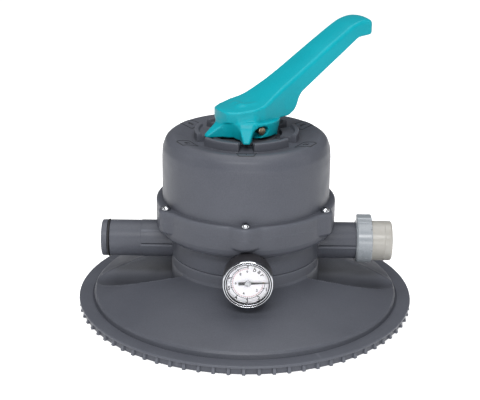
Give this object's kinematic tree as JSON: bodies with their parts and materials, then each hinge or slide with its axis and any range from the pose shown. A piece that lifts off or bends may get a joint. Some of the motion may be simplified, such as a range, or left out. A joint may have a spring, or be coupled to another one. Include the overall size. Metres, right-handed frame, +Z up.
{
  "type": "multiport valve",
  "caption": "Pool filter multiport valve on a round toothed tank cover, with dome lid, lever handle, pressure gauge, sight glass and hose ports.",
  "frame": {"origin": "centre of the round cover's foot, on the plane it stands on", "axes": "+Z up along the valve and cover axis; ports on +X, -X and +Y; the gauge faces -Y; the lever points 30 degrees from +X towards +Y"},
  "size_m": [0.35, 0.35, 0.2906],
  "materials": {
    "grey_plastic": "satin moulded ABS",
    "handle_plastic": "satin moulded ABS",
    "rotor_plastic": "moulded glass-filled plastic",
    "rubber": "matt black rubber",
    "chrome": "polished",
    "steel": "bright steel",
    "brass": "machined",
    "nut_plastic": "satin light grey",
    "sight_glass_plastic": "translucent, greyish",
    "clear_lens": "clear",
    "nylon": "black filled nylon",
    "black_paint": "satin black",
    "dial_paint": "printed white"
  },
  "bodies": {
    "valve": {"tank_cover": "grey_plastic", "tank_gasket": "rubber", "body_seal": "rubber", "body_screw_1": "steel", "body_screw_2": "steel", "body_screw_3": "steel", "body_screw_4": "steel", "valve_body": "grey_plastic", "spider_gasket": "rubber", "left_port_o_ring": "rubber", "back_port_o_ring": "rubber", "union_collar": "grey_plastic", "sight_glass_seal": "rubber", "sight_glass": "sight_glass_plastic", "lid": "grey_plastic", "lid_seal": "rubber", "lid_screw_1": "chrome", "lid_screw_2": "chrome", "lid_screw_3": "chrome", "lid_screw_4": "chrome", "lid_screw_5": "chrome", "lid_screw_6": "chrome", "shaft_seal_lower": "rubber", "shaft_seal_upper": "rubber", "gauge_seal": "rubber", "gauge_socket": "brass", "gauge_case": "black_paint", "bourdon_tube": "brass", "gauge_movement": "brass", "gauge_dial": "dial_paint", "gauge_lens": "clear_lens", "gauge_bezel": "chrome"},
    "selector": {"thrust_washer": "nylon", "upper_spring_washer": "steel", "rotor_spring": "steel"},
    "rotor": {"rotor": "rotor_plastic", "lower_spring_washer": "steel", "handle_pin": "brass"},
    "handle": {"handle": "handle_plastic"},
    "union_nut": {"union_nut": "nut_plastic"},
    "sector": {"sector_gear": "brass"},
    "needle": {"gauge_needle": "black_paint", "pinion_spindle": "steel"}
  },
  "joints": [
    {"name": "selector_turn", "type": "hinge", "parent": "valve", "child": "selector", "pos_m": [0, 0, 0.18], "axis": [0, 0, 1], "continuous": true},
    {"name": "rotor_lift", "type": "slide", "parent": "selector", "child": "rotor", "axis": [0, 0, 1], "range_m": [0, 0.0086], "deforming": ["rotor_spring"]},
    {"name": "handle_press", "type": "hinge", "parent": "rotor", "child": "handle", "pos_m": [0, 0, 0.192], "axis": [-0.5, 0.866, 0], "range_deg": [0, 20], "stiffness_Nm_per_rad": 4, "springref_deg": -28.65},
    {"name": "union_nut_turn", "type": "hinge", "parent": "valve", "child": "union_nut", "pos_m": [0.12, 0, 0.066], "axis": [1, 0, 0], "continuous": true},
    {"name": "sector_swing", "type": "hinge", "parent": "valve", "child": "sector", "pos_m": [0.0029, -0.106, 0.048], "axis": [0, 1, 0], "range_deg": [-54, 0]},
    {"name": "needle_turn", "type": "hinge", "parent": "valve", "child": "needle", "pos_m": [0.0029, -0.114, 0.066], "axis": [0, 1, 0], "range_deg": [0, 270]}
  ],
  "couplings": [
    {"joint": "rotor_lift", "follows": "handle_press", "m_per_rad": 0.0245},
    {"joint": "needle_turn", "follows": "sector_swing", "ratio": -5}
  ]
}
